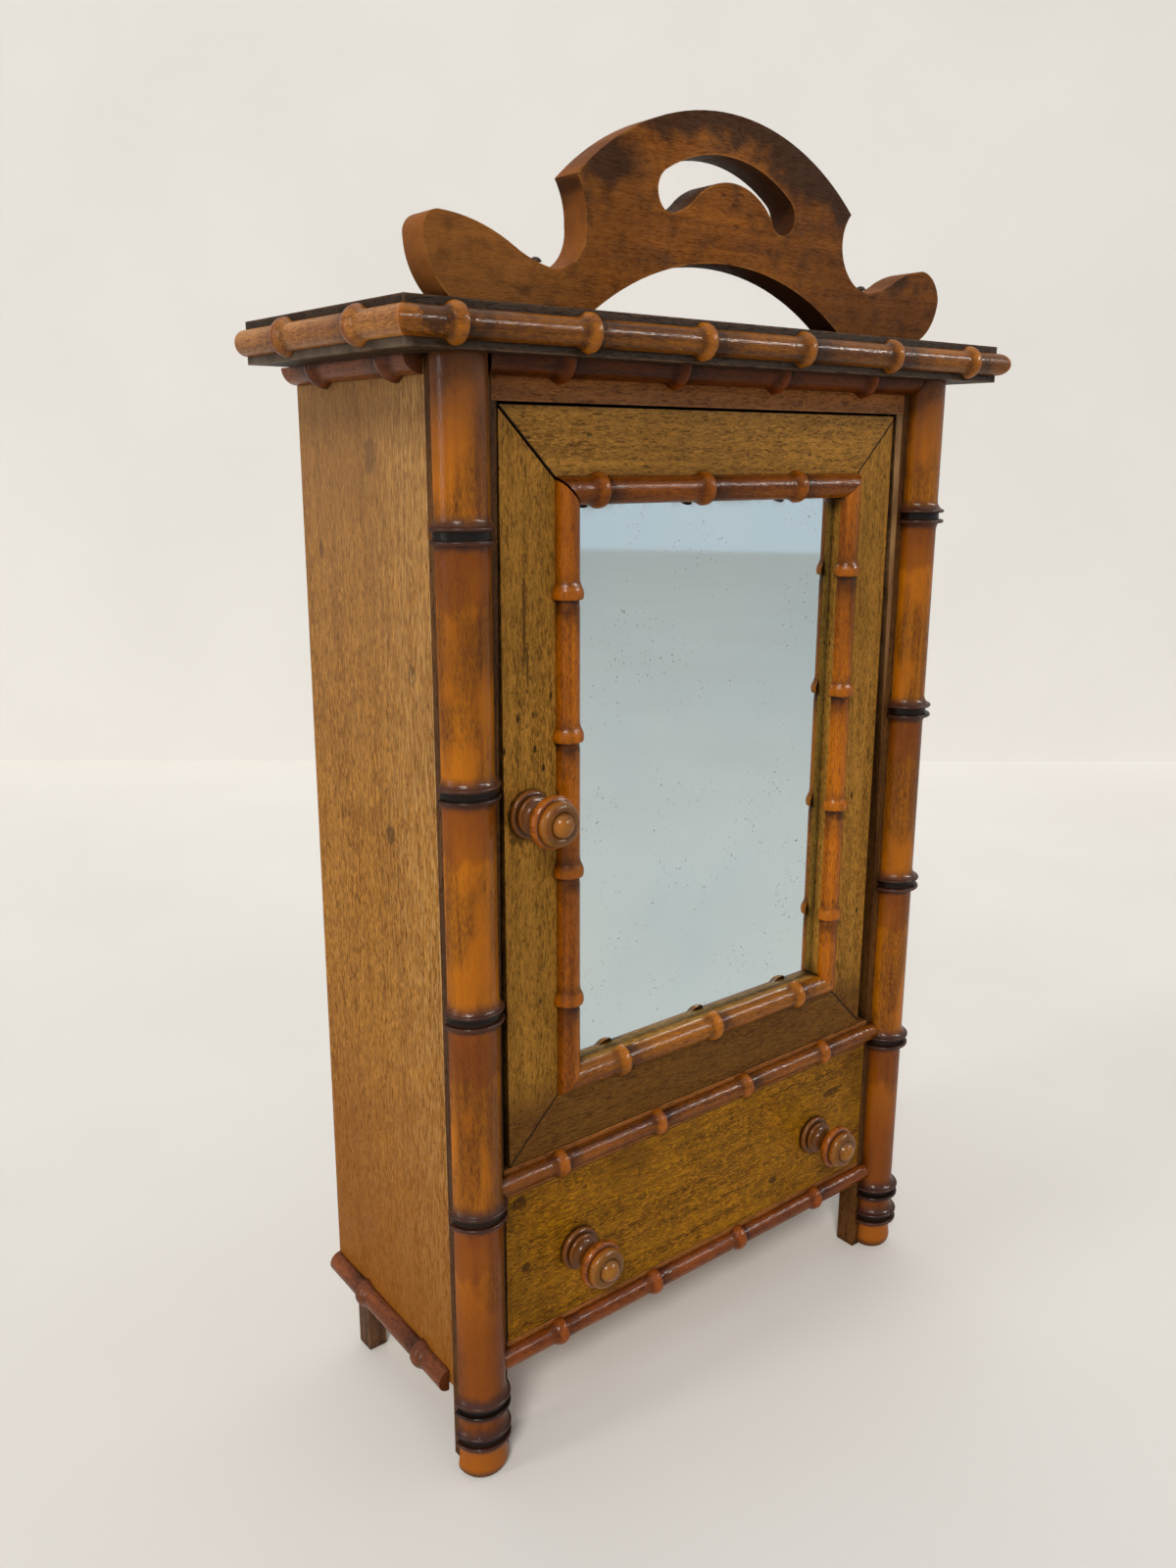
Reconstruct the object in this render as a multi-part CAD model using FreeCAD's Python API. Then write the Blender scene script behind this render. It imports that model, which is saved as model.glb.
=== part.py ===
import FreeCAD, Part
import os

Vector = FreeCAD.Vector
os.makedirs("parts", exist_ok=True)

# Carcass; the side panels' back edges lean, so they are deeper at the foot than at the top
body_width = 252.4
carcass_height = 421.2
carcass_depth = 103.8
rear_lean = 3.3
panel_thickness = 8.0
panel_bottom = 31.0
stile_reveal = 1.1
stile_depth = 10.2
back_thickness = 7.1
floor_thickness = 8.0
top_rail_height = 13.9
rail_height = 12.6
divider_top = 125.0
base_rail_top = 48.3
running_gap = 0.3

# Back legs: square blocks notched under the side panels
leg_width = 8.6
leg_depth = 9.0
leg_inset = 2.7

# Cornice board
cornice_side_reach = 22.2
cornice_front_reach = 15.9
cornice_thickness = 14.7

# Half-round turned posts, one split a little thinner; rings are sections rising from the post
post_inset = 6.0
post_radius = 10.1
thin_post_radius = 9.1
ring_radius = 12.1
ring_half_height = 3.0
foot_round = 4.4
foot_shares = (0.9, 1.03, 1.07)
foot_ring_height = 16.8
foot_ring_share = 4.7
ring_height_shares = (0.2697, 0.4618, 0.6591, 0.8654)
ring_shares = (
    (-2.3, 0.0), (-1.6, 0.06, -1.1, 0.25), (-1.0, 0.8), (-0.75, 1.0, -0.5, 0.85), (-0.42, 0.3),
    (0.42, 0.3), (0.5, 0.85), (0.72, 1.0, 0.95, 0.82), (1.05, 0.55), (1.5, 0.18, 2.3, 0.0))

# Mouldings turned with knuckles like bamboo, then split to a half or a quarter
cornice_radius = 4.6
cornice_rise = 2.0
cornice_pitch = 51.7
frieze_radius = 6.0
frieze_rise = 2.2
frieze_pitch = 52.6
side_pitch = 50.0
slim_radius = 4.1
slim_rise = 1.8
slim_pitch = 51.5
stout_radius = 4.9
stout_rise = 1.5
stout_pitch = 45.6
swell_length = 8.0
knuckle_shares = (
    (-0.875, 0.0), (-0.675, 0.137, -0.475, 0.55), (-0.225, 0.975, 0.0625, 0.805), (0.11, -0.1),
    (0.24, -0.1, 0.45, 0.0))
frieze_post_gap = 1.2
frieze_end_gap = 0.3
frieze_bevel_share = 0.35
base_end_gap = 2.9

# Where the first knuckle of each moulding falls: from the board's corner, the post, its own end or the glass
cornice_front_first = 18.7
cornice_side_first = 27.5
frieze_front_first = 42.3
frieze_side_first = 17.8
divider_first = 40.8
base_front_first = 40.0
base_side_first = 19.9
base_side_rise = 1.4
base_side_climb = 5.0
door_top_first = 10.2
door_bottom_first = 22.9
door_upright_first = 31.9

# Pediment: a fretsawn board, its outline chained arcs in shares of the half width and the height
pediment_half_width = 129.6
pediment_height = 73.3
pediment_thickness = 12.5
pediment_setback = 2.5
pediment_outline_shares = (
    (-0.903, 0.0), (-0.977, 0.135), (-1.0, 0.284), (-0.989, 0.351), (-0.949, 0.379),
    (-0.841, 0.349), (-0.733, 0.269), (-0.679, 0.225), (-0.621, 0.198), (-0.537, 0.247),
    (-0.503, 0.411), (-0.508, 0.506), (-0.534, 0.613), (0.004, 1.0), (0.539, 0.64),
    (0.508, 0.54), (0.514, 0.4), (0.558, 0.3), (0.64, 0.252), (0.71, 0.282),
    (0.779, 0.341), (0.845, 0.386), (0.91, 0.408), (0.972, 0.356), (0.997, 0.254),
    (0.961, 0.104), (0.845, 0.0))
arch_shares = ((0.525, 0.0), (0.012, 0.306), (-0.5, 0.0))
crescent_shares = (
    (-0.23, 0.518), (-0.255, 0.613), (-0.22, 0.703), (0.015, 0.804), (0.264, 0.653),
    (0.285, 0.568), (0.255, 0.49), (0.221, 0.484), (0.193, 0.523), (0.188, 0.546),
    (0.181, 0.563), (0.035, 0.688), (-0.108, 0.606), (-0.15, 0.546), (-0.189, 0.514),
    (-0.21, 0.509), (-0.23, 0.518))
nail_place_shares = ((-0.634, 0.202), (0.657, 0.254))
nail_radius = 0.9
nail_head_radius = 2.2
nail_head_height = 1.5
nail_head_shares = ((0.0, 1.0), (0.62, 0.72, 1.0, 0.2))
nail_stand = 2.0
nail_bite_share = 0.667

# Door: four mitred members, rebated behind for the glass
leaf_thickness = 9.4
door_member = 33.1
door_head_gap = 1.1
latch_gap = 2.6
hang_gap = 4.7
open_mitre = 1.2
rebate_lip = 3.8
rebate_width = 5.0
glass_play = 0.5
glass_thickness = 2.0
backing_thickness = 2.6

# Tapered slips that close the stiles up to the door towards its top
slip_play = 0.5
slip_share = 0.23

# Wire pivots of the door: fast in the rails, turning in the hanging stile
pin_radius = 0.8
pin_fit = 0.05
pin_inset = 2.6
pin_seat_share = 0.8
pin_reach = 9.0

# Drawer
drawer_play = 0.5
drawer_back_gap = 7.0
drawer_side_drop = 7.0
drawer_side_thickness = 6.0
drawer_side_inset = 1.5
drawer_back_thickness = 5.0
drawer_bottom_thickness = 3.0
drawer_bottom_rise = 3.0
guide_height = 12.0

# Knobs: turned section in shares of the reach and of the disc's radius
knob_reach = 24.0
knob_radius = 9.9
spindle_radius = 2.8
door_knob_inset = 10.6
door_knob_rise = 139.4
drawer_knob_inset = 35.2
drawer_knob_rise = 28.2
knob_shares = (
    (0.0, 0.82), (0.06, 0.92, 0.12, 0.82), (0.13, 0.7), (0.165, 0.75, 0.21, 0.68), (0.33, 0.43, 0.47, 0.58),
    (0.53, 0.74, 0.56, 0.94), (0.62, 1.0, 0.69, 0.93), (0.71, 0.85), (0.73, 0.85),
    (0.805, 0.83, 0.865, 0.66), (0.875, 0.56), (0.86, 0.48), (0.95, 0.33, 1.0, 0.06))

# Derived places; depths run back from the front face of the stiles
half_width = body_width / 2
panel_inner = half_width - panel_thickness
post_x = half_width - post_inset
opening_half = post_x - ring_radius - stile_reveal
cornice_ridge = cornice_radius + cornice_rise
frieze_ridge = frieze_radius + frieze_rise
slim_ridge = slim_radius + slim_rise
stout_ridge = stout_radius + stout_rise
face_y = (knob_reach - carcass_depth) / 2
back_rear = carcass_depth - rear_lean
back_face = back_rear - back_thickness
rail_low = carcass_height - top_rail_height
divider_low = divider_top - rail_height
base_rail_low = base_rail_top - rail_height
bottom_low = base_rail_top - floor_thickness
cornice_half = half_width + cornice_side_reach
cornice_mid = carcass_height + cornice_thickness / 2
cornice_top = carcass_height + cornice_thickness
frieze_start = stile_depth + frieze_end_gap
base_start = stile_depth + base_end_gap
nail_bite = cornice_thickness * nail_bite_share
door_left = latch_gap - opening_half
door_right = opening_half - hang_gap
door_low = divider_top + running_gap
door_high = rail_low - door_head_gap
door_height = door_high - door_low
sight_left = door_left + door_member
sight_right = door_right - door_member
sight_low = door_low + door_member
sight_high = door_high - door_member
slip_low = door_low + door_height * slip_share
pin_x = door_right - pin_inset
head_pin_seat = top_rail_height * pin_seat_share
foot_pin_seat = rail_height * pin_seat_share
door_knob_x = door_left + door_knob_inset
door_knob_height = door_low + door_knob_rise
drawer_half = opening_half - drawer_play
drawer_low = base_rail_top + running_gap
drawer_high = divider_low - running_gap
drawer_side_high = drawer_high - drawer_side_drop
drawer_outer = drawer_half - drawer_side_inset
drawer_inner = drawer_outer - drawer_side_thickness
drawer_depth = back_face - drawer_back_gap
drawer_back_front = drawer_depth - drawer_back_thickness
drawer_knob_x = drawer_half - drawer_knob_inset
drawer_knob_height = drawer_low + drawer_knob_rise
drawer_floor = drawer_low + drawer_bottom_rise

RIGHT = Vector(1, 0, 0)
BACK = Vector(0, 1, 0)
UP = Vector(0, 0, 1)
FULL_TURN = 360
HALF_TURN = 180
QUARTER_TURN = 90


def at(x, depth, z):
    return Vector(x, face_y + depth, z)


def block(left, right, front, rear, low, high):
    return Part.makeBox(right - left, rear - front, high - low, at(left, front, low))


def mirrored(shape):
    return shape.mirror(Vector(0, 0, 0), RIGHT)


def prism(corners, along):
    return Part.Face(Part.makePolygon(corners + corners[:1])).extrude(along)


def mitred_frame(left, right, low, high, width, depth, along):
    """Four members mitred at the corners: bottom, right, top and left."""
    outer = [at(x, depth, z) for x, z in ((left, low), (right, low), (right, high), (left, high))]
    steps = (RIGHT + UP, UP - RIGHT, -RIGHT - UP, RIGHT - UP)
    inner = [corner + step * width for corner, step in zip(outer, steps)]
    return [prism([outer[i - 1], outer[i], inner[i], inner[i - 1]], along) for i in (1, 2, 3, 0)]


def turned(rows, start, along, outward, angle):
    """A turned solid, swept from the outward direction.

    A row of one distance along the axis and one radius is a line to that place; a row of two such pairs
    is an arc through the first place to the second."""
    first = start + along * rows[0][0]
    last = start + along * rows[-1][-2]
    here = first
    edges = []
    for row in rows:
        spots = [start + along * distance + outward * radius for distance, radius in zip(row[::2], row[1::2])]
        edge = Part.Arc(here, *spots).toShape() if len(spots) > 1 else Part.makeLine(here, spots[0])
        edges.append(edge)
        here = spots[-1]
    if rows[-1][-1] > 0:
        edges.append(Part.makeLine(here, last))
    edges.append(Part.makeLine(last, first))
    return Part.Face(Part.Wire(edges)).revolve(start, along, angle)


def scaled(shares, place, length, base, rise):
    """Rows for a turned section from rows of shares of a length and of a rise above a base."""
    rows = []
    for row in shares:
        distances = [place + length * share for share in row[::2]]
        heights = [base + rise * share for share in row[1::2]]
        rows.append([value for pair in zip(distances, heights) for value in pair])
    return rows


def knuckled(low, high, first, pitch, radius, ridge):
    """Rows of a bamboo moulding; each knuckle swells gently on its lower side and drops sharply after."""
    rows = [(low, radius)]
    place = first
    while place < high - swell_length:
        rows += scaled(knuckle_shares, place, swell_length, radius, ridge - radius)
        place += pitch
    rows.append((high, radius))
    return rows


def post(x, radius):
    foot, cheek, swell = [radius * share for share in foot_shares]
    rows = [(0, foot), (foot_round / 2, cheek, foot_round, swell)]
    heights = [foot_ring_height, foot_ring_height + ring_half_height * foot_ring_share]
    heights += [carcass_height * share for share in ring_height_shares]
    for height in heights:
        rows += scaled(ring_shares, height, ring_half_height, radius, ring_radius - radius)
    rows.append((carcass_height, radius))
    return turned(rows, at(x, 0, 0), UP, -RIGHT, HALF_TURN)


def stile(side, slip):
    """A stile on the left (-1) or right (1), with the slip that tapers down its inner edge."""
    inner = side * opening_half
    corners = [(side * half_width, 0), (inner, 0), (inner, slip_low), (inner - side * slip, rail_low),
               (inner, rail_low), (inner, carcass_height), (side * half_width, carcass_height)]
    return prism([at(x, 0, z) for x, z in corners], BACK * stile_depth)


def chained_arcs(shares):
    points = []
    for x, z in shares:
        points.append(at(x * pediment_half_width, pediment_setback, cornice_top + z * pediment_height))
    return [Part.Arc(*points[i:i + 3]).toShape() for i in range(0, len(points) - 2, 2)]


def knob(x, height):
    rows = scaled(knob_shares, 0, knob_reach, 0, knob_radius)
    return turned(rows, at(x, 0, height), -BACK, RIGHT, FULL_TURN).fuse(spindle(x, height))


def spindle(x, height):
    return Part.makeCylinder(spindle_radius, leaf_thickness, at(x, 0, height), BACK)


def save(name, shape):
    shape.exportStep("parts/" + name + ".step")


def save_pair(name, shape):
    save(name + "_left", shape)
    save(name + "_right", mirrored(shape))


# Posts, their flat side on the stiles
posts = [post(-post_x, post_radius), post(post_x, thin_post_radius)]
save("front_post_left", posts[0])
save("front_post_right", posts[1])
save("front_stile_left", stile(-1, latch_gap - slip_play))
save("front_stile_right", stile(1, hang_gap - slip_play))

# Side panels, boards and back legs
panel = prism([at(-half_width, stile_depth, panel_bottom), at(-half_width, carcass_depth, panel_bottom),
               at(-half_width, back_rear, carcass_height), at(-half_width, stile_depth, carcass_height)],
              RIGHT * panel_thickness)
save_pair("side_panel", panel)
save("back_panel", block(-panel_inner, panel_inner, back_face, back_rear, bottom_low, cornice_top))
save("bottom_board", block(-panel_inner, panel_inner, stile_depth, back_face, bottom_low, base_rail_top))
floor_low = divider_top - floor_thickness
save("cupboard_floor", block(-panel_inner, panel_inner, stile_depth, back_face, floor_low, divider_top))
leg_outer = leg_inset - half_width
leg_front = back_face - leg_depth
leg = block(leg_outer, leg_outer + leg_width, leg_front, back_face, 0, bottom_low)
leg_notch = block(leg_outer, -panel_inner, leg_front, back_face, panel_bottom, bottom_low)
save_pair("back_leg", leg.cut(leg_notch))

# Wire pivots, and the rails that hold them
head_pin_length = pin_reach + door_head_gap + head_pin_seat
head_pin = Part.makeCylinder(pin_radius, head_pin_length, at(pin_x, pin_inset, door_high - pin_reach))
foot_pin_length = foot_pin_seat + running_gap + pin_reach
foot_pin = Part.makeCylinder(pin_radius, foot_pin_length, at(pin_x, pin_inset, divider_top - foot_pin_seat))
save("pivot_pins", Part.makeCompound([head_pin, foot_pin]))
save("top_rail", block(-opening_half, opening_half, 0, stile_depth, rail_low, carcass_height).cut(head_pin))
divider = block(-opening_half, opening_half, 0, stile_depth, divider_low, divider_top)
save("divider_rail", divider.cut(foot_pin))
save("base_rail", block(-opening_half, opening_half, 0, stile_depth, base_rail_low, base_rail_top))

# Mouldings across the front, their ends fitted round the posts
frieze_rows = knuckled(-post_x, post_x, frieze_front_first - post_x,
                       frieze_pitch, frieze_radius, frieze_ridge)
frieze = turned(frieze_rows, at(0, 0, carcass_height), RIGHT, -BACK, QUARTER_TURN)
frieze_low = carcass_height - frieze_ridge
frieze_ends = [Part.makeCylinder(radius + frieze_post_gap, frieze_ridge, at(x, 0, frieze_low))
               for x, radius in ((-post_x, post_radius), (post_x, thin_post_radius))]
save("frieze_moulding_front", frieze.cut(frieze_ends))
for name, first, rail_top in (("divider_moulding", divider_first, divider_top),
                              ("base_moulding_front", base_front_first, base_rail_top)):
    rows = knuckled(-post_x, post_x, first - post_x, slim_pitch, slim_radius, slim_ridge)
    save(name, turned(rows, at(0, 0, rail_top - rail_height / 2), RIGHT, UP, HALF_TURN).cut(posts))

# Mouldings down the sides; the lower one climbs towards the back
frieze_side_rows = knuckled(frieze_start, back_rear, frieze_start + frieze_side_first,
                            side_pitch, frieze_radius, frieze_ridge)
frieze_side = turned(frieze_side_rows, at(-half_width, 0, carcass_height), BACK, -UP, QUARTER_TURN)
frieze_tip = -half_width - frieze_ridge
frieze_end = [at(-half_width, frieze_start, frieze_low), at(frieze_tip, frieze_start, frieze_low),
              at(frieze_tip, frieze_start + frieze_ridge * frieze_bevel_share, frieze_low)]
save_pair("frieze_moulding", frieze_side.cut(prism(frieze_end, UP * frieze_ridge)))
base_side_low = panel_bottom + base_side_rise
base_side_foot = at(-half_width, base_start, base_side_low)
base_side_run = at(-half_width, carcass_depth, base_side_low + base_side_climb) - base_side_foot
base_side_rows = knuckled(0, base_side_run.Length, base_side_first, stout_pitch, stout_radius, stout_ridge)
base_side_way = base_side_run.normalize()
base_side = turned(base_side_rows, base_side_foot, base_side_way, base_side_way.cross(RIGHT), HALF_TURN)
save_pair("base_moulding", base_side)

# Pediment with its crescent, held down by a nail in each notch
outline = chained_arcs(pediment_outline_shares)
arch = chained_arcs(arch_shares)
right_foot = Part.makeLine(outline[-1].Vertexes[-1].Point, arch[0].Vertexes[0].Point)
left_foot = Part.makeLine(arch[-1].Vertexes[-1].Point, outline[0].Vertexes[0].Point)
sheet = Part.Face(Part.Wire(outline + [right_foot] + arch + [left_foot]))
crescent = Part.Face(Part.Wire(chained_arcs(crescent_shares)))
nails = []
for x_share, z_share in nail_place_shares:
    nail_depth = pediment_setback + pediment_thickness / 2
    shank_length = nail_bite + z_share * pediment_height + nail_stand
    foot = at(x_share * pediment_half_width, nail_depth, cornice_top - nail_bite)
    head_rows = scaled(nail_head_shares, 0, nail_head_height, 0, nail_head_radius)
    head = turned(head_rows, foot + UP * shank_length, UP, RIGHT, FULL_TURN)
    nails.append(Part.makeCylinder(nail_radius, shank_length, foot).fuse(head))
save("pediment", sheet.cut(crescent).extrude(BACK * pediment_thickness).cut(nails))
save("pediment_nails", Part.makeCompound(nails))

# Cornice board and the moulding round its edge, mitred at the front corners
board = block(-cornice_half, cornice_half, -cornice_front_reach, back_face, carcass_height, cornice_top)
save("cornice_board", board.cut(nails))
mould_low = cornice_mid - cornice_ridge
mould_out = cornice_half + cornice_ridge
mould_front = -cornice_front_reach - cornice_ridge
left_corner = at(-cornice_half, -cornice_front_reach, mould_low)
right_corner = at(cornice_half, -cornice_front_reach, mould_low)
left_tip = at(-mould_out, mould_front, mould_low)
right_tip = at(mould_out, mould_front, mould_low)
left_rear = [at(-mould_out, back_face, mould_low), at(-cornice_half, back_face, mould_low)]
front_plan = [left_corner, right_corner, right_tip, left_tip]
side_plan = [left_corner, left_tip] + left_rear
front_rows = knuckled(-mould_out, mould_out, cornice_front_first - cornice_half,
                      cornice_pitch, cornice_radius, cornice_ridge)
front_rod = turned(front_rows, at(0, -cornice_front_reach, cornice_mid), RIGHT, UP, HALF_TURN)
save("cornice_moulding_front", front_rod.common(prism(front_plan, UP * cornice_ridge * 2)))
side_rows = knuckled(mould_front, back_face, cornice_side_first - cornice_front_reach,
                     side_pitch, cornice_radius, cornice_ridge)
side_rod = turned(side_rows, at(-cornice_half, 0, cornice_mid), BACK, -UP, HALF_TURN)
save_pair("cornice_moulding", side_rod.common(prism(side_plan, UP * cornice_ridge * 2)))

# Door frame; the hanging edge is rounded about its pivots and one mitre has opened
rebate = block(sight_left - rebate_width, sight_right + rebate_width, rebate_lip, leaf_thickness,
               sight_low - rebate_width, sight_high + rebate_width)
members = mitred_frame(door_left, door_right, door_low, door_high, door_member, 0, BACK * leaf_thickness)
bottom_member, hanging_member, top_member, closing_member = [member.cut(rebate) for member in members]
corner = block(pin_x, door_right, 0, pin_inset, door_low, door_high)
rounding = Part.makeCylinder(pin_inset, door_height, at(pin_x, pin_inset, door_low))
pin_ways = [Part.makeCylinder(pin_radius + pin_fit, pin_reach + running_gap, at(pin_x, pin_inset, low))
            for low in (door_low, door_high - pin_reach - running_gap)]
shaved = -UP * open_mitre
save("door_rail_bottom", bottom_member.cut([corner.cut(rounding)] + pin_ways))
save("door_rail_top", top_member.cut([corner.cut(rounding)] + pin_ways))
save("door_stile_right", hanging_member.cut([corner.cut(rounding)] + pin_ways))
closing_stile = closing_member.common(closing_member.translated(shaved))
save("door_stile_left", closing_stile.cut(spindle(door_knob_x, door_knob_height)))
save("door_knob", knob(door_knob_x, door_knob_height))

# Door mouldings round the glass
mould_reach = stout_radius + stout_ridge
quads = mitred_frame(sight_left - mould_reach, sight_right + mould_reach, sight_low - mould_reach,
                     sight_high + mould_reach, 2 * stout_ridge, 0, -BACK * stout_ridge)
across = []
for first, height in ((door_bottom_first, sight_low - stout_radius),
                      (door_top_first, sight_high + stout_radius)):
    rows = knuckled(sight_left - mould_reach, sight_right + mould_reach, sight_left + first,
                    slim_pitch, stout_radius, stout_ridge)
    across.append(turned(rows, at(0, 0, height), RIGHT, UP, HALF_TURN))
upright = []
for x in (sight_left - stout_radius, sight_right + stout_radius):
    rows = knuckled(-mould_reach, sight_high - sight_low + mould_reach, door_upright_first,
                    slim_pitch, stout_radius, stout_ridge)
    upright.append(turned(rows, at(x, 0, sight_high), -UP, RIGHT, HALF_TURN))
save("door_moulding_bottom", across[0].common(quads[0]))
save("door_moulding_right", upright[1].common(quads[1]))
save("door_moulding_top", across[1].common(quads[2]))
save("door_moulding_left", upright[0].common(quads[3].common(quads[3].translated(shaved))))

# Mirror and its backing, lying in the rebate
lap = rebate_width - glass_play
glass_rear = rebate_lip + glass_thickness
save("mirror_glass", block(sight_left - lap, sight_right + lap, rebate_lip, glass_rear,
                           sight_low - lap, sight_high + lap))
save("mirror_backing", block(sight_left - lap, sight_right + lap, glass_rear, glass_rear + backing_thickness,
                             sight_low - lap, sight_high + lap))

# Drawer, and the strips that guide it
front = block(-drawer_half, drawer_half, 0, leaf_thickness, drawer_low, drawer_high)
knob_places = (("drawer_knob_left", -drawer_knob_x), ("drawer_knob_right", drawer_knob_x))
save("drawer_front", front.cut([spindle(x, drawer_knob_height) for name, x in knob_places]))
for name, x in knob_places:
    save(name, knob(x, drawer_knob_height))
save_pair("drawer_side", block(-drawer_outer, -drawer_inner, leaf_thickness, drawer_depth,
                               drawer_low, drawer_side_high))
save("drawer_back", block(-drawer_inner, drawer_inner, drawer_back_front, drawer_depth,
                          drawer_low, drawer_side_high))
save("drawer_bottom", block(-drawer_inner, drawer_inner, leaf_thickness, drawer_back_front,
                            drawer_floor, drawer_floor + drawer_bottom_thickness))
save_pair("drawer_guide", block(-panel_inner, -drawer_outer - running_gap, stile_depth, back_face,
                                base_rail_top, base_rail_top + guide_height))
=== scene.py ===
import math
import bpy
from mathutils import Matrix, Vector


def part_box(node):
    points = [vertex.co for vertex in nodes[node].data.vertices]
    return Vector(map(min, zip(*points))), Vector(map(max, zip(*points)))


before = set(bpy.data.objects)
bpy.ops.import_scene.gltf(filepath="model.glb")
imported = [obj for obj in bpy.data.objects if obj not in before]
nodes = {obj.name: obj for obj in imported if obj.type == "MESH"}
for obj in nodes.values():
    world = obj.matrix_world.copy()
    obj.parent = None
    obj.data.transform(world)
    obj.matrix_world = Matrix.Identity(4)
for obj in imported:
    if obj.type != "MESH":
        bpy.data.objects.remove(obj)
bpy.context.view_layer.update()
scene = bpy.context.scene
scene.view_settings.view_transform = "Standard"

# Places on the cabinet, from the frame, in metres
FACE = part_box("front_stile_left")[0][1]
PANEL_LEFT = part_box("side_panel_left")[0][0]
CARCASS_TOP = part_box("side_panel_left")[1][2]
CORNICE_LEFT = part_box("cornice_board")[0][0]
KNOB_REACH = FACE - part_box("door_knob")[0][1]
DOOR_LEFT, _, DOOR_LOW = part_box("door_rail_bottom")[0]
DOOR_RIGHT, _, DOOR_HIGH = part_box("door_rail_top")[1]
DOOR_MIDDLE = (DOOR_LEFT + DOOR_RIGHT) / 2
DOOR_HALF = (DOOR_RIGHT - DOOR_LEFT) / 2

# Middles of the posts' rings, the lowest two at the foot
RING_HEIGHTS = (0.0168, 0.0309, 0.1136, 0.1945, 0.2776, 0.3645)

# Where a change of tone begins and where it is full, along one axis
POST_FOOT = (0.13, 0.05)
POST_HEAD = (0.375, 0.415)
POST_STUB = (RING_HEIGHTS[0], RING_HEIGHTS[0] - 0.006)
PANEL_SHEEN_HEAD = (0.2, 0.43)
PANEL_SHADED_FOOT = (0.22, 0.02)
PANEL_FRONT = (0.02, -0.02)
CORNICE_END = (CORNICE_LEFT + 0.004, CORNICE_LEFT + 0.002)
CORNICE_FOOT = (CARCASS_TOP + 0.007, CARCASS_TOP + 0.001)
SLIP_LEFT = (0.0985, 0.1)
SLIP_RIGHT = (0.1072, 0.1064)
SLIP_HEAD = (0.26, 0.36)
DOOR_FOOT = (DOOR_LOW + 0.035, DOOR_LOW + 0.015)
MITRE_LINE = (0.0009, 0.0003)
PEDIMENT_SHADED_RIGHT = (-0.02, 0.09)
PEDIMENT_LIT_LEFT = (-0.05, -0.1)
PEDIMENT_SHADED = (-0.095, -0.08)

# Each moulding's axis, a knuckle's place on it and the pitch of the knuckles
SLIM_PITCH = 0.0515
CORNICE_FRONT_RUN = ("X", -0.1297, 0.0517)
CORNICE_SIDE_RUN = ("Y", -0.0283, 0.05)
FRIEZE_FRONT_RUN = ("X", -0.0779, 0.0526)
FRIEZE_SIDE_RUN = ("Y", -0.0116, 0.05)
DIVIDER_RUN = ("X", -0.0794, SLIM_PITCH)
BASE_FRONT_RUN = ("X", -0.0802, SLIM_PITCH)
BASE_SIDE_RUN = ("Y", -0.0069, 0.0456)
DOOR_BOTTOM_RUN = ("X", -0.0484, SLIM_PITCH)
DOOR_TOP_RUN = ("X", -0.0611, SLIM_PITCH)
DOOR_SIDE_RUN = ("Z", 0.3412, -SLIM_PITCH)

# Turns added along a moulding, so that its count is never below zero
WHOLE_TURNS = 20

# Knots, cracks and stains: the middle of each and its reach along each axis
PANEL_MARKS = [
    ((PANEL_LEFT, 0.0076, 0.3897), (0.004, 0.006, 0.008)),
    ((PANEL_LEFT, -0.0159, 0.315), (0.004, 0.0034, 0.0058)),
    ((PANEL_LEFT, 0.0029, 0.2526), (0.004, 0.004, 0.005)),
    ((PANEL_LEFT, 0.0473, 0.3555), (0.004, 0.002, 0.005)),
]
DRAWER_MARKS = [
    ((0.0845, FACE, 0.0944), (0.008, 0.004, 0.003)),
    ((-0.0972, FACE, 0.0784), (0.003, 0.004, 0.003)),
    ((-0.1, FACE, 0.108), (0.005, 0.004, 0.004)),
    ((0.045, FACE, 0.062), (0.004, 0.004, 0.0025)),
]
STILE_MARKS = [
    ((-0.0948, FACE, 0.336), (0.0009, 0.004, 0.02)),
    ((-0.0935, FACE, 0.318), (0.0008, 0.004, 0.012)),
    ((-0.0985, FACE, 0.262), (0.006, 0.004, 0.012)),
]
CORNICE_MARKS = [
    ((-0.1395, FACE, 0.4315), (0.009, 0.06, 0.012)),
    ((0.108, FACE, 0.437), (0.007, 0.06, 0.004)),
]
CREST_STAINS = [
    ((0.046, FACE, 0.5), (0.034, 0.03, 0.019)),
    ((0.008, FACE, 0.513), (0.046, 0.03, 0.018)),
    ((-0.056, FACE, 0.487), (0.014, 0.03, 0.012)),
    ((-0.03, FACE, 0.507), (0.03, 0.03, 0.012)),
    ((0.1, FACE, 0.468), (0.012, 0.03, 0.016)),
    ((0.064, FACE, 0.486), (0.01, 0.03, 0.012)),
]
# The cut-out's place and reach, where painted shade darkens its walls
PEDIMENT_SLOT = ((0.004, FACE, 0.482), (0.05, 0.05, 0.04))


def linear(red, green, blue):
    """A colour as a screen shows it, 0 to 255, in linear values."""
    shown = [value / 255 for value in (red, green, blue)]
    return [v / 12.92 if v < 0.04 else ((v + 0.055) / 1.055) ** 2.4 for v in shown] + [1.0]


def scaled(colour, share):
    """A linear colour made so many times as bright."""
    return [min(v * share, 1.0) for v in colour[:3]] + [1.0]


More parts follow.
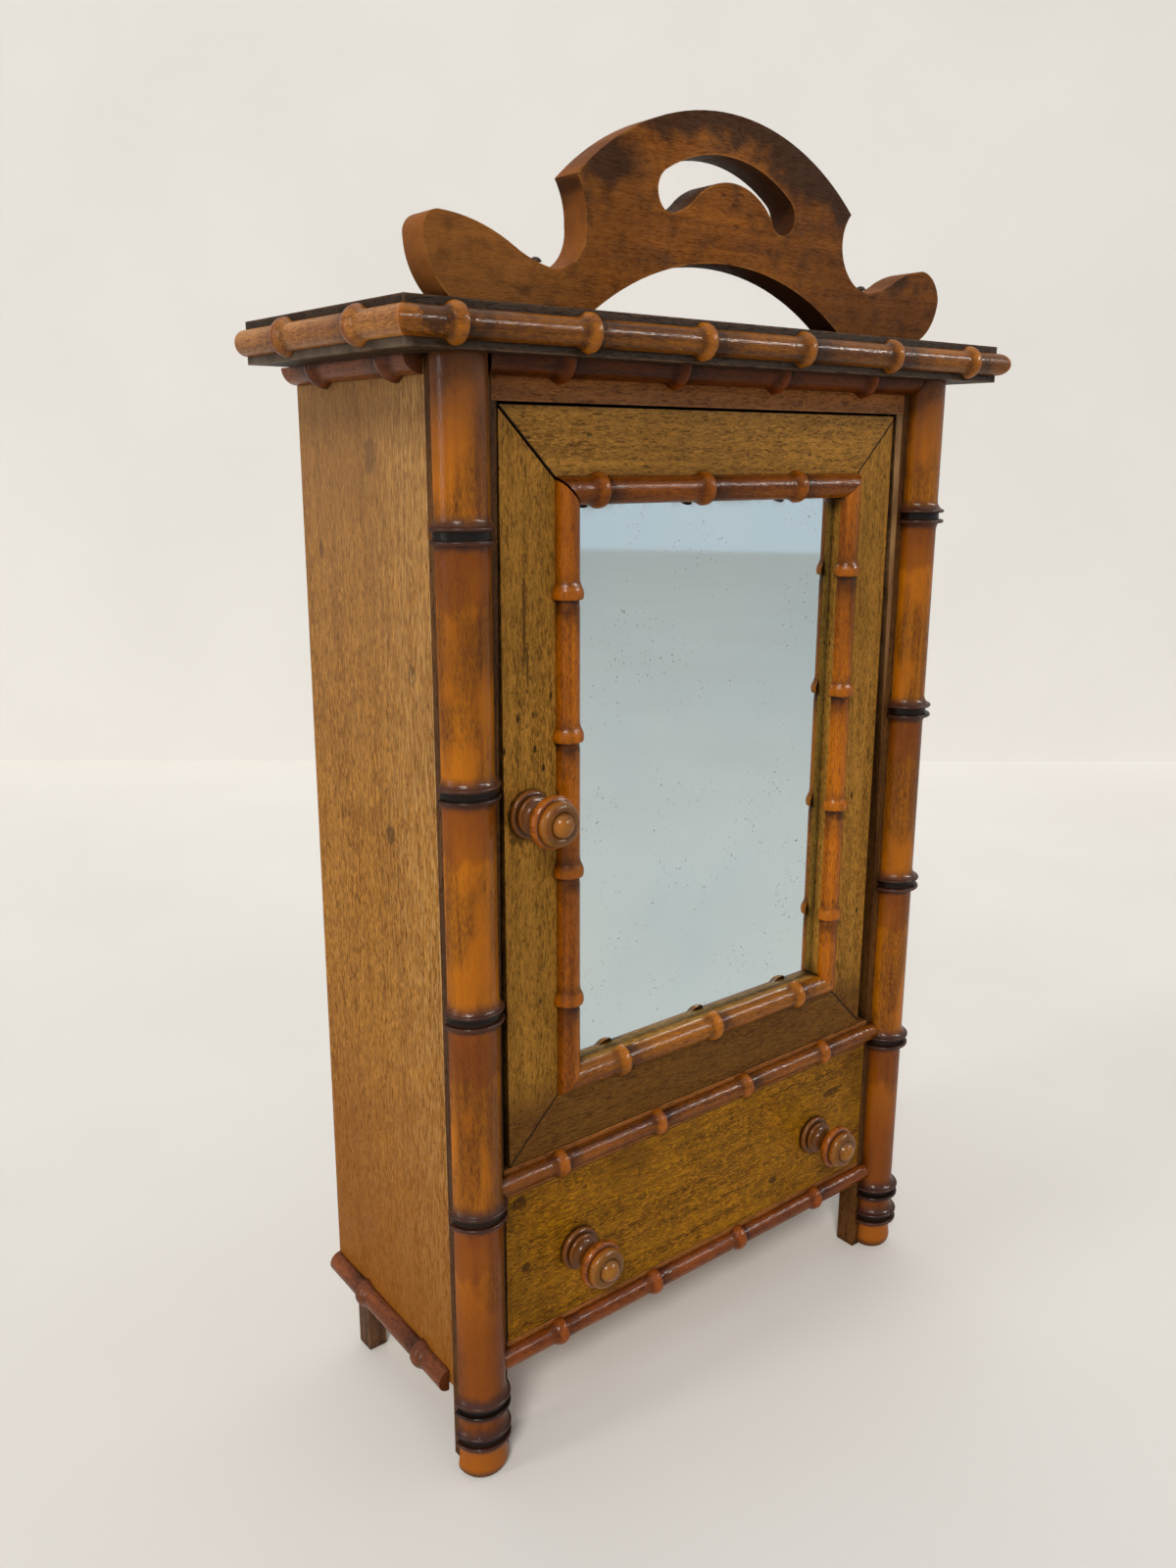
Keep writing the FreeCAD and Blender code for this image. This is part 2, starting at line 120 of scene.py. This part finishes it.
class Paint:
    """A material and the nodes that make its look; places are in the cabinet's own metres."""

    def __init__(self, name):
        self.material = bpy.data.materials.new(name)
        self.material.use_nodes = True
        self.tree = self.material.node_tree
        self.shader = self.tree.nodes["Principled BSDF"]
        self.place = self.node("ShaderNodeTexCoord").outputs["Object"]
        split = self.node("ShaderNodeSeparateXYZ", {"Vector": self.place})
        self.x, self.y, self.z = split.outputs

    def join(self, value, socket):
        if isinstance(value, bpy.types.NodeSocket):
            self.tree.links.new(value, socket)
        else:
            socket.default_value = value

    def node(self, kind, inputs=(), **settings):
        node = self.tree.nodes.new(kind)
        for key, value in settings.items():
            setattr(node, key, value)
        for key, value in dict(inputs).items():
            self.join(value, node.inputs[key])
        return node

    def set(self, **inputs):
        """Values or links for the shader's sockets, by their names in small letters."""
        for key, value in inputs.items():
            self.join(value, self.shader.inputs[key.replace("_", " ").title().replace("Ior", "IOR")])

    def stretched(self, scale):
        """The place, scaled by one number or by one for each axis."""
        scale = scale if isinstance(scale, (list, tuple)) else (scale,) * 3
        return self.node("ShaderNodeMapping", {"Vector": self.place, "Scale": scale}).outputs[0]

    def noise(self, scale, detail=2.0, bend=0.0):
        """Noise with so many features a metre."""
        inputs = {"Vector": self.stretched(scale), "Scale": 1.0, "Detail": detail, "Distortion": bend}
        return self.node("ShaderNodeTexNoise", inputs).outputs["Fac"]

    def math(self, operation, first, second=0.0, third=0.0):
        return self.node("ShaderNodeMath", {0: first, 1: second, 2: third}, operation=operation).outputs[0]

    def times(self, first, second):
        return self.math("MULTIPLY", first, second)

    def mask(self, value, none, full):
        """0 where value is none, 1 where it is full, smooth between."""
        return self.node("ShaderNodeMapRange", {"Value": value, "From Min": none, "From Max": full},
                         interpolation_type="SMOOTHSTEP").outputs[0]

    def ramp(self, value, stops):
        node = self.node("ShaderNodeValToRGB", {"Fac": value})
        row = node.color_ramp.elements
        while len(row) < len(stops):
            row.new(0.5)
        for element, (place, colour) in zip(row, stops):
            element.position = place
            element.color = colour if isinstance(colour, list) else [colour] * 3 + [1.0]
        return node.outputs["Color"]

    def mix(self, share, first, second, blend="MIX"):
        node = self.node("ShaderNodeMix", data_type="RGBA", blend_type=blend)
        for value, socket in ((share, node.inputs[0]), (first, node.inputs[6]), (second, node.inputs[7])):
            self.join(value, socket)
        return node.outputs[2]

    def lay(self, colour, over, mask, strength):
        """A screen colour laid over another where the mask is 1, so strongly."""
        return self.mix(self.times(mask, strength), colour, linear(*over))

    def hollow(self, reach, inside=False):
        """How far a place is hemmed in by what is near; inside, how close it is to an outer edge."""
        shade = self.node("ShaderNodeAmbientOcclusion", {"Distance": reach}, samples=8, inside=inside)
        return self.math("SUBTRACT", 1.0, shade.outputs["AO"])

    def spot(self, centre, size):
        """1 at the centre, 0 at so far from it along each axis."""
        scale = [1 / s for s in size]
        shift = [-c * s for c, s in zip(centre, scale)]
        near = self.node("ShaderNodeMapping", {"Vector": self.place, "Location": shift, "Scale": scale})
        return self.node("ShaderNodeTexGradient", {"Vector": near.outputs[0]},
                         gradient_type="SPHERICAL").outputs["Fac"]

    def spots(self, places):
        """The strongest of several spots."""
        total = self.spot(*places[0])
        for centre, size in places[1:]:
            total = self.math("MAXIMUM", total, self.spot(centre, size))
        return total


def along(axis, across, run):
    """Noise scales for grain that runs along an axis."""
    return [run if letter == axis else across for letter in "XYZ"]


def wood(name, axis, light, deep, tint, *, fleck=0.5, figure=0.22, blotch=0.35, pits=0.4, dirt=0.7,
         dirt_reach=0.007, pore=(1300, 240), rays=0.0, ray=(900, 150), worn=None, wear=0.5,
         rough=0.5, shine=0.07, coat=0.0, bump=0.3, rounding=0.0, marks=None, extra=None):
    """Wood with streaks, pale rays, ripple, blotches, pores, pits, worn edges, and dirt with painted shade
    in its corners.
    """
    p = Paint(name)
    light, deep = linear(*light), linear(*deep)
    dark, black = scaled(deep, 0.3), scaled(deep, 0.1)

    # Grain
    streaks = p.noise(along(axis, 220, 10), 3.0, 0.6)
    fine = p.noise(along(axis, 2400, 420), 2.0)
    flecks = p.noise(along(axis, *pore), 1.5, 1.2)
    grain = p.math("MULTIPLY_ADD", fine, 0.25, p.times(streaks, 0.5))
    grain = p.math("MULTIPLY_ADD", flecks, 0.25, grain)
    colour = p.ramp(grain, [(0.38, deep), (0.62, light)])
    if rays:
        lines = p.mask(p.noise(along(axis, *ray), 1.0, 1.6), 0.5, 0.62)
        colour = p.mix(p.times(lines, rays), colour, scaled(light, 1.5))
    ripple = p.noise(along(axis, 60, 170), 2.0, 0.8)
    colour = p.mix(figure, colour, p.ramp(ripple, [(0.3, 0.36), (0.7, 0.64)]), "OVERLAY")
    colour = p.lay(colour, tint, p.mask(p.noise(17, 3.0), 0.42, 0.7), blotch)

    # Pores, pits and marks
    pores = p.mask(flecks, 0.48, 0.32)
    colour = p.mix(p.times(pores, fleck), colour, dark)
    cells = p.node("ShaderNodeTexVoronoi", {"Vector": p.stretched(along(axis, 210, 90)), "Scale": 1.0})
    pit = p.times(p.mask(cells.outputs["Distance"], 0.2, 0.08), p.mask(p.noise(40), 0.5, 0.58))
    colour = p.mix(p.times(pit, pits), colour, black)
    if marks:
        ragged = p.math("MULTIPLY_ADD", p.noise(500, 3.0), 0.9, p.spots(marks))
        colour = p.mix(p.times(p.mask(ragged, 0.62, 0.86), 0.75), colour, dark)

    # Wear, the piece's own paint, and dirt with painted shade
    if worn:
        edge = p.mask(p.hollow(0.0012, True), 0.12, 0.42)
        colour = p.lay(colour, worn, p.times(edge, p.mask(p.noise(140, 3.0), 0.36, 0.6)), wear)
    if extra:
        colour = extra(p, colour)
    # Dirt and painted shade: darker, towards black, where the piece is hemmed in by what is near
    grime_and_shade = p.mask(p.hollow(dirt_reach), 0.22, 0.68)
    grime_and_shade = p.times(grime_and_shade, p.ramp(p.noise(220, 3.0), [(0.3, 0.65), (0.6, 1.0)]))
    colour = p.mix(p.times(grime_and_shade, dirt), colour, black)

    # Relief and gloss
    height = p.math("MULTIPLY_ADD", pores, -0.6, p.math("MULTIPLY_ADD", pit, -1.2, fine))
    relief = p.node("ShaderNodeBump", {"Height": height, "Strength": bump, "Distance": 0.0005})
    if rounding:
        soft = p.node("ShaderNodeBevel", {"Radius": rounding}, samples=4)
        p.join(soft.outputs[0], relief.inputs["Normal"])
    gloss = p.math("MULTIPLY_ADD", p.noise(60, 3.0), 0.25, rough - 0.12)
    gloss = p.math("MULTIPLY_ADD", grime_and_shade, 0.25, p.math("MULTIPLY_ADD", pores, 0.15, gloss))
    p.set(base_color=colour, roughness=gloss, normal=relief.outputs[0], coat_weight=coat,
          coat_normal=relief.outputs[0], coat_roughness=0.05, specular_ior_level=shine)
    return p.material


def beads(axis, first, pitch, crest, valley, trail, rub):
    """Paint for bamboo knuckles: a rubbed crest, and dark stain that trails off the steep side."""
    millimetre = 0.001 / abs(pitch)

    def stops(steps):
        """Ramp stops about a knuckle in the middle, from steps of millimetres and strength."""
        return [(0.5 + step * millimetre, strength) for step, strength in steps]

    def extra(p, colour):
        run = {"X": p.x, "Y": p.y, "Z": p.z}[axis]
        turn = p.math("FRACT", p.math("MULTIPLY_ADD", run, 1 / pitch, 0.5 - first / pitch + WHOLE_TURNS))
        wobble = p.math("MULTIPLY_ADD", p.noise(300, 2.0), 2.4 * millimetre, -1.2 * millimetre)
        turn = p.math("ADD", turn, wobble)
        patchy = p.ramp(p.noise(180, 2.0), [(0.34, 0.4), (0.6, 1.0)])
        stain = p.ramp(turn, stops([(-9, 0.0), (-5, 0.55), (-3.4, 0.0), (0.3, 0.0), (1.0, 1.0),
                                    (3.5 * trail, 0.8), (7 * trail, 0.35), (12 * trail, 0.0)]))
        crests = p.ramp(turn, stops([(-4.5, 0.0), (-2.2, rub), (-0.2, rub), (0.6, 0.0)]))
        colour = p.lay(colour, crest, crests, patchy)
        return p.lay(colour, valley, stain, patchy)
    return extra


def moulding(name, run, light, deep, tint, crest, valley, *, trail=1.3, rub=0.6, **finish):
    """Wood for a knuckled moulding, painted along its run."""
    return wood(name, run[0], light, deep, tint, extra=beads(*run, crest, valley, trail, rub), **finish)


def stops_at(heights, steps):
    """Ramp stops round each height, from steps of millimetres and strength, as shares of the carcass."""
    return [((height + step / 1000) / CARCASS_TOP, strength) for height in heights
            for step, strength in steps]


def ringed(p, colour):
    """Paint for a post: black grooves, a dark glaze over each, and a deeper scalloped band under it."""
    bright = p.mask(p.noise((60, 60, 22), 2.0), 0.46, 0.62)
    colour = p.lay(colour, (184, 104, 4), bright, 0.6)
    colour = p.lay(colour, (92, 38, 3), p.mask(p.z, *POST_FOOT), 0.7)
    colour = p.lay(colour, (84, 46, 24), p.mask(p.z, *POST_HEAD), 0.6)
    colour = p.lay(colour, (160, 88, 12), p.mask(p.z, *POST_STUB), 0.7)
    height = p.times(p.z, 1 / CARCASS_TOP)
    scallops = p.math("MULTIPLY_ADD", p.noise((170, 170, 12), 1.0), 0.036, -0.018)
    band_steps = ((-24, 0.0), (-22, 0.5), (-6, 0.75), (-2, 0.6), (3, 0.0))
    bands = p.ramp(p.math("ADD", height, scallops), stops_at(RING_HEIGHTS[2:], band_steps))
    colour = p.mix(bands, colour, linear(104, 48, 8))
    wobble = p.math("MULTIPLY_ADD", p.noise((260, 260, 60), 2.0), 0.006, -0.003)
    glaze_steps = ((-5.2, 0.0), (-3.8, 0.85), (3.4, 0.95), (4.8, 0.6), (7.0, 0.0))
    glaze = p.ramp(p.math("ADD", height, wobble), stops_at(RING_HEIGHTS, glaze_steps))
    colour = p.mix(glaze, colour, linear(56, 33, 27))
    groove_steps = ((-1.8, 0.0), (-1.4, 1.0), (1.4, 1.0), (1.8, 0.0))
    return p.mix(p.ramp(height, stops_at(RING_HEIGHTS, groove_steps)), colour, linear(18, 12, 9))


def knob_paint(p, colour):
    """Paint for a knob: amber disc, thin dark grooves and a rubbed, golden button."""
    share = p.math("MULTIPLY_ADD", p.y, -1 / KNOB_REACH, FACE / KNOB_REACH)
    patchy = p.ramp(p.noise(260, 3.0), [(0.35, 0.35), (0.62, 1.0)])
    colour = p.lay(colour, (104, 66, 26), p.mask(share, 0.5, 0.4), 0.6)
    colour = p.lay(colour, (140, 94, 24), p.times(p.mask(share, 0.74, 0.82), patchy), 0.8)
    grooves = p.ramp(share, [(0.02, 0.6), (0.06, 0.0), (0.11, 0.2), (0.13, 0.95), (0.16, 0.1), (0.24, 0.4),
                             (0.36, 0.7), (0.48, 0.4), (0.55, 0.0), (0.69, 0.0), (0.712, 0.95), (0.73, 0.95),
                             (0.75, 0.1), (0.83, 0.15), (0.868, 0.55), (0.9, 0.25), (0.95, 0.0)])
    return p.mix(grooves, colour, linear(52, 28, 12))


def panel_tone_and_light(p, colour):
    """The side panels have a painted sheen that greys them towards the top, painted warm shade that deepens
    them towards the foot, and pale rays at the front.
    """
    # Painted sheen: greyer and paler towards the top
    colour = p.lay(colour, (146, 112, 80), p.mask(p.z, *PANEL_SHEEN_HEAD), 0.45)
    lines = p.mask(p.noise((700, 700, 75), 1.0, 2.2), 0.5, 0.6)
    colour = p.lay(colour, (196, 152, 90), p.times(lines, p.mask(p.y, *PANEL_FRONT)), 0.5)
    # Painted shade: deeper and warmer towards the foot
    return p.lay(colour, (124, 68, 4), p.mask(p.z, *PANEL_SHADED_FOOT), 0.75)


def pale_end_foot(p, colour):
    """The cornice board is paler along the foot of its left end."""
    end = p.times(p.mask(p.x, *CORNICE_END), p.mask(p.z, *CORNICE_FOOT))
    patchy = p.ramp(p.noise(90, 3.0), [(0.35, 0.2), (0.6, 0.7)])
    return p.lay(colour, (112, 96, 80), end, patchy)


def slip_tone(p, colour):
    """The slip beside the door's hanging edge is rubbed pale towards its top."""
    strip = p.times(p.mask(p.x, *SLIP_LEFT), p.mask(p.x, *SLIP_RIGHT))
    pale = p.times(strip, p.mask(p.z, *SLIP_HEAD))
    patchy = p.ramp(p.noise((120, 120, 40), 3.0), [(0.35, 0.35), (0.6, 0.9)])
    return p.lay(colour, (158, 120, 78), pale, patchy)


def door_joints(p, colour):
    """Dark joints at the door's mitres, and a deeper tone with wavy figure at its foot."""
    off = p.math("ABSOLUTE", p.math("SUBTRACT", p.x, DOOR_MIDDLE))
    head = p.math("SUBTRACT", p.math("SUBTRACT", p.z, off), DOOR_HIGH - DOOR_HALF)
    foot = p.math("SUBTRACT", p.math("ADD", p.z, off), DOOR_LOW + DOOR_HALF)
    nearest = p.math("MINIMUM", p.math("ABSOLUTE", head), p.math("ABSOLUTE", foot))
    low = p.times(p.mask(p.z, *DOOR_FOOT), 0.75)
    colour = p.mix(low, colour, linear(60, 31, 6))
    waves = p.mask(p.noise((120, 300, 800), 2.0, 2.5), 0.5, 0.62)
    colour = p.lay(colour, (132, 86, 28), p.times(waves, low), 0.6)
    return p.lay(colour, (16, 10, 5), p.mask(nearest, *MITRE_LINE), 0.9)


def stains_and_painted_light(p, colour):
    """The pediment has painted light, paler at its left and darker at its right; it has stains along its
    crest, and painted shade darkens its cut-outs and the undersides at its left.
    """
    # Painted light and shade: darker towards the right, paler towards the left
    colour = p.lay(colour, (76, 40, 12), p.mask(p.x, *PEDIMENT_SHADED_RIGHT), 0.45)
    colour = p.lay(colour, (148, 98, 50), p.mask(p.x, *PEDIMENT_LIT_LEFT), 0.4)
    cloud = p.math("MULTIPLY_ADD", p.noise(130, 4.0), 1.1, p.spots(CREST_STAINS))
    colour = p.lay(colour, (42, 24, 13), p.mask(cloud, 0.46, 1.0), 0.85)
    normal = p.node("ShaderNodeNewGeometry").outputs["Normal"]
    facing = p.node("ShaderNodeSeparateXYZ", {"Vector": normal}).outputs
    sawn = p.mask(p.math("ABSOLUTE", facing["Y"]), 0.7, 0.3)
    colour = p.lay(colour, (136, 80, 40), sawn, 0.5)
    # Painted shade in the cut-out and on the downward faces at the left
    slot_shade = p.times(sawn, p.mask(p.spot(*PEDIMENT_SLOT), 0.1, 0.25))
    under = p.times(sawn, p.mask(facing["Z"], -0.1, -0.5))
    under = p.times(under, p.mask(p.x, *PEDIMENT_SHADED))
    return p.lay(colour, (44, 27, 18), p.math("MAXIMUM", slot_shade, under), 0.8)


def mirror_paint():
    """Old silvering: foxed in specks and hazy along its rim."""
    p = Paint("mirror")
    fox = p.times(p.mask(p.noise(900, 2.0), 0.66, 0.74), p.mask(p.noise(30), 0.46, 0.62))
    haze = p.times(p.mask(p.hollow(0.012), 0.25, 0.7), p.mask(p.noise((120, 120, 60), 3.0), 0.4, 0.62))
    marks = p.math("MAXIMUM", fox, p.times(haze, 0.6))
    silver = p.ramp(p.noise(14, 2.0), [(0.3, linear(198, 214, 220)), (0.7, linear(208, 220, 222))])
    p.set(base_color=p.mix(marks, silver, linear(112, 104, 84)), metallic=1.0,
          roughness=p.math("MULTIPLY_ADD", marks, 0.5, 0.035))
    return p.material


def iron_paint():
    """Dark iron, a little rusty."""
    p = Paint("iron")
    rust = p.mask(p.noise(900, 3.0), 0.4, 0.65)
    relief = p.node("ShaderNodeBump", {"Height": rust, "Strength": 0.3, "Distance": 0.0002})
    p.set(base_color=p.ramp(rust, [(0.0, linear(40, 36, 33)), (1.0, linear(74, 50, 36))]), metallic=0.7,
          roughness=p.math("MULTIPLY_ADD", rust, 0.3, 0.45), normal=relief.outputs[0])
    return p.material


def paper(name, low, high):
    """Plain matt paper for the studio, a little uneven in tone."""
    p = Paint(name)
    tone = p.ramp(p.noise(4, 3.0), [(0.3, linear(*low)), (0.7, linear(*high))])
    p.set(base_color=tone, roughness=0.7, specular_ior_level=0.2)
    return p.material


def pair(stem):
    """The names of a left and a right piece."""
    return stem + "_left", stem + "_right"


def dress(material, *names):
    """Give CAD nodes a material."""
    for name in names:
        mesh = nodes[name].data
        mesh.materials.clear()
        mesh.materials.append(material)


# Boards; each has a pale, a deep and a blotch colour
dress(wood("panel_oak", "Z", (160, 110, 44), (118, 72, 18), (126, 78, 20), marks=PANEL_MARKS, pits=0.2,
           dirt=0.9, worn=(206, 170, 118), wear=0.8, rays=0.7, fleck=0.65, extra=panel_tone_and_light),
      *pair("side_panel"))
# The front stiles' dark colours are partly painted shade for the gaps beside the posts, partly dirt
dress(wood("stile_wood_shaded", "Z", (104, 66, 28), (62, 36, 14), (46, 26, 12), dirt=0.95, extra=slip_tone),
      *pair("front_stile"))
dress(wood("rail_wood", "X", (164, 102, 48), (110, 64, 26), (88, 48, 20), dirt=0.9, worn=(170, 112, 60)),
      "top_rail", "divider_rail", "base_rail")
dress(wood("cornice_dark", "X", (68, 50, 35), (36, 26, 18), (46, 34, 25), dirt=0.6, worn=(112, 80, 52),
           wear=0.6, extra=pale_end_foot),
      "cornice_board")
dress(wood("leg_wood", "Z", (104, 72, 50), (66, 42, 28), (80, 62, 46), worn=(150, 112, 78)),
      *pair("back_leg"))
dress(wood("pediment_wood", "X", (148, 86, 22), (104, 56, 12), (82, 44, 10), pits=0.5, dirt=0.7, fleck=0.2,
           worn=(176, 116, 54), wear=0.7, shine=0.035, extra=stains_and_painted_light),
      "pediment")
dress(wood("inner_wood_along", "Y", (176, 136, 88), (140, 102, 62), (122, 88, 54), pits=0.5),
      *pair("drawer_side"), *pair("drawer_guide"))
dress(wood("inner_wood_across", "X", (172, 132, 86), (136, 98, 60), (118, 84, 52), pits=0.5),
      "drawer_back", "drawer_bottom", "bottom_board", "cupboard_floor")
dress(wood("back_wood", "Z", (150, 108, 66), (108, 72, 42), (92, 62, 38), pits=0.6),
      "back_panel", "mirror_backing")

# Door and drawer fronts
door_oak = dict(light=(162, 113, 42), deep=(112, 74, 20), tint=(106, 72, 20), dirt=0.95, rays=0.4,
                ray=(900, 300), fleck=0.6, rounding=0.0004, extra=door_joints)
dress(wood("door_oak_across", "X", pits=0.8, **door_oak), "door_rail_top", "door_rail_bottom")
dress(wood("door_oak_upright", "Z", pits=0.9, marks=STILE_MARKS, **door_oak), *pair("door_stile"))
dress(wood("drawer_oak", "X", (146, 97, 11), (90, 54, 3), (78, 46, 3), pits=0.6, dirt=0.95, rays=0.7,
           ray=(850, 260), fleck=0.45, worn=(168, 116, 36), wear=0.5, marks=DRAWER_MARKS, rounding=0.0006,
           blotch=0.6, figure=0.45),
      "drawer_front")

# Turned work under amber varnish: posts, knobs and the cornice's moulding
amber = dict(fleck=0.2, figure=0.2, pits=0.35, dirt=0.9, dirt_reach=0.011, pore=(1500, 300), rough=0.38,
             shine=0.05, bump=0.1, worn=(186, 100, 20), wear=0.35)
dress(wood("turned_amber", "Z", (162, 96, 8), (90, 45, 4), (86, 42, 5), extra=ringed, blotch=0.4,
           coat=0.25, **amber),
      *pair("front_post"))
dress(wood("knob_amber", "Y", (170, 92, 16), (104, 50, 8), (88, 42, 8), extra=knob_paint, blotch=0.4,
           coat=0.4, **amber),
      "door_knob", *pair("drawer_knob"))
dress(moulding("cornice_amber_front", CORNICE_FRONT_RUN, (160, 95, 15), (82, 42, 7), (58, 29, 7),
               (176, 104, 28), (36, 19, 8), trail=2.0, marks=CORNICE_MARKS, blotch=0.7, coat=0.25, **amber),
      "cornice_moulding_front")
dress(moulding("cornice_amber_side", CORNICE_SIDE_RUN, (196, 130, 58), (126, 76, 30), (98, 54, 20),
               (100, 48, 26), (64, 32, 18), rub=0.85, blotch=0.4, coat=0.25, **amber),
      *pair("cornice_moulding"))

# Slimmer mouldings under redder varnish; each has a crest and a valley colour too
slim = dict(fleck=0.22, figure=0.2, blotch=0.45, pits=0.5, dirt_reach=0.008, pore=(1500, 300), rough=0.38,
            shine=0.04, bump=0.14)
dress(moulding("frieze_red_front", FRIEZE_FRONT_RUN, (108, 50, 5), (56, 24, 3), (42, 18, 4), (130, 58, 10),
               (34, 14, 4), dirt=0.6, coat=0.15, **slim), "frieze_moulding_front")
dress(moulding("frieze_red_side", FRIEZE_SIDE_RUN, (146, 78, 30), (88, 42, 14), (60, 28, 10), (76, 36, 20),
               (38, 17, 9), rub=0.85, dirt=0.95, coat=0.28, **slim), *pair("frieze_moulding"))
dress(moulding("slim_red_divider", DIVIDER_RUN, (152, 84, 11), (70, 32, 5), (58, 25, 6), (184, 102, 20),
               (44, 20, 6), dirt=0.95, coat=0.28, **slim), "divider_moulding")
dress(moulding("slim_red_base", BASE_FRONT_RUN, (150, 74, 12), (78, 34, 6), (64, 26, 6), (152, 76, 16),
               (44, 18, 6), dirt=0.95, coat=0.28, **slim), "base_moulding_front")
dress(moulding("slim_red_side", BASE_SIDE_RUN, (132, 72, 36), (84, 42, 20), (66, 32, 16), (90, 48, 30),
               (46, 23, 14), rub=0.85, dirt=0.95, coat=0.28, **slim), *pair("base_moulding"))
dress(moulding("slim_gold_bottom", DOOR_BOTTOM_RUN, (174, 104, 16), (98, 50, 6), (80, 38, 6), (182, 106, 22),
               (50, 24, 6), dirt=0.95, coat=0.28, **slim), "door_moulding_bottom")
dress(moulding("slim_red_top", DOOR_TOP_RUN, (146, 78, 8), (84, 40, 4), (68, 30, 4), (156, 84, 12),
               (46, 22, 5), dirt=0.95, coat=0.2, **slim), "door_moulding_top")
dress(moulding("slim_red_upright", DOOR_SIDE_RUN, (184, 102, 5), (106, 52, 2), (84, 38, 2), (168, 92, 8),
               (48, 22, 4), dirt=0.95, coat=0.28, **slim), *pair("door_moulding"))

# Glass and iron
dress(mirror_paint(), "mirror_glass")
dress(iron_paint(), "pediment_nails", "pivot_pins")

# Worn arrises, by how far each edge is rounded
ROUNDED = {
    0.0007: [*pair("side_panel"), *pair("back_leg"), "cornice_board", "pediment"],
    0.0005: [*pair("drawer_side"), "drawer_back", "back_panel"],
    0.0003: [*pair("front_stile"), "top_rail", "divider_rail", "base_rail"],
}
for width, names in ROUNDED.items():
    for name in names:
        weld = nodes[name].modifiers.new("weld", "WELD")
        weld.merge_threshold = 1e-6
        bevel = nodes[name].modifiers.new("bevel", "BEVEL")
        bevel.width = width
        bevel.segments = 2
        bevel.limit_method = "ANGLE"
        bevel.angle_limit = math.radians(40)
        bevel.harden_normals = True

# Camera, as the photograph's
VIEW_TURN = math.radians(-38.7397)
VIEW_TILT = math.radians(75.506)
VIEW_ROLL = math.radians(-0.0902)
camera_data = bpy.data.cameras.new("camera")
camera_data.sensor_width = 36
camera_data.lens = 29.0174
camera = bpy.data.objects.new("camera", camera_data)
camera.location = (-0.35208, -0.39595, 0.38931)
camera.rotation_euler = (VIEW_TILT, VIEW_ROLL, VIEW_TURN)
scene.collection.objects.link(camera)
scene.camera = camera

# World: dim light, but pale where the camera, gloss or glass sees it
ROOM_LIGHT = 0.3
ROOM_SHOWN = 0.8
world = bpy.data.worlds.new("studio")
scene.world = world
world.use_nodes = True
tree = world.node_tree
sky = tree.nodes["Background"]
sky.inputs["Color"].default_value = (0.9, 0.95, 1.0, 1)
path = tree.nodes.new("ShaderNodeLightPath")
seen = path.outputs["Is Camera Ray"]
for kind in ("Is Glossy Ray", "Is Transmission Ray"):
    either = tree.nodes.new("ShaderNodeMath")
    either.operation = "MAXIMUM"
    tree.links.new(seen, either.inputs[0])
    tree.links.new(path.outputs[kind], either.inputs[1])
    seen = either.outputs[0]
strength = tree.nodes.new("ShaderNodeMapRange")
strength.inputs["To Min"].default_value = ROOM_LIGHT
strength.inputs["To Max"].default_value = ROOM_SHOWN
tree.links.new(seen, strength.inputs["Value"])
tree.links.new(strength.outputs[0], sky.inputs["Strength"])

# Pale floor, and a pale wall square to the view behind the cabinet
FLOOR_HALF = 5.0
WALL_BACK = 1.1
WALL_HALF = 1.5
WALL_HEIGHT = 1.5


def stage_sheet(name, outline, material):
    """A flat sheet for the studio, turned square to the view."""
    mesh = bpy.data.meshes.new(name)
    mesh.from_pydata(outline, [], [range(len(outline))])
    mesh.materials.append(material)
    sheet = bpy.data.objects.new(name, mesh)
    sheet.rotation_euler.z = VIEW_TURN
    scene.collection.objects.link(sheet)


FLOOR_OUTLINE = [(-FLOOR_HALF, -FLOOR_HALF, 0), (FLOOR_HALF, -FLOOR_HALF, 0),
                 (FLOOR_HALF, FLOOR_HALF, 0), (-FLOOR_HALF, FLOOR_HALF, 0)]
WALL_OUTLINE = [(-WALL_HALF, WALL_BACK, 0), (WALL_HALF, WALL_BACK, 0),
                (WALL_HALF, WALL_BACK, WALL_HEIGHT), (-WALL_HALF, WALL_BACK, WALL_HEIGHT)]
stage_sheet("floor", FLOOR_OUTLINE, paper("floor_paper", (230, 227, 222), (234, 232, 228)))
stage_sheet("wall", WALL_OUTLINE, paper("wall_paper", (214, 212, 208), (218, 216, 213)))


def hang(data, place, target, lights_matt=True):
    """A lamp at a place, aimed at a target; one that doesn't light matt surfaces gives gleam alone."""
    light = bpy.data.objects.new(data.name, data)
    light.visible_diffuse = lights_matt
    light.location = place
    light.rotation_euler = (Vector(target) - Vector(place)).to_track_quat("-Z", "Y").to_euler()
    scene.collection.objects.link(light)


def softbox(name, place, target, size, power, colour, lights_matt=True):
    """A rectangular lamp."""
    data = bpy.data.lights.new(name, "AREA")
    data.shape = "RECTANGLE"
    data.size, data.size_y = size
    data.energy = power
    data.color = colour
    hang(data, place, target, lights_matt)


# Lamps: the key is far off and broad, and the strip gives gleam alone
softbox("overhead", (0.3, 0.2, 3.0), (0.3, 0.2, 0), (4.0, 4.0), 24, (1.0, 0.98, 0.95))
key = bpy.data.lights.new("key", "SUN")
key.energy = 1.95
key.angle = math.radians(16)
key.color = (1.0, 0.95, 0.88)
hang(key, (-2.0, -1.9, 2.4), (0, 0, 0.25))
softbox("side", (-5.6, 0.8, 1.8), (0, 0, 0.3), (1.0, 3.6), 76, (1.0, 0.98, 0.96))
softbox("strip", (0.95, -1.0, 0.95), (0, 0, 0.25), (0.9, 0.1), 14, (1.0, 0.97, 0.92), lights_matt=False)
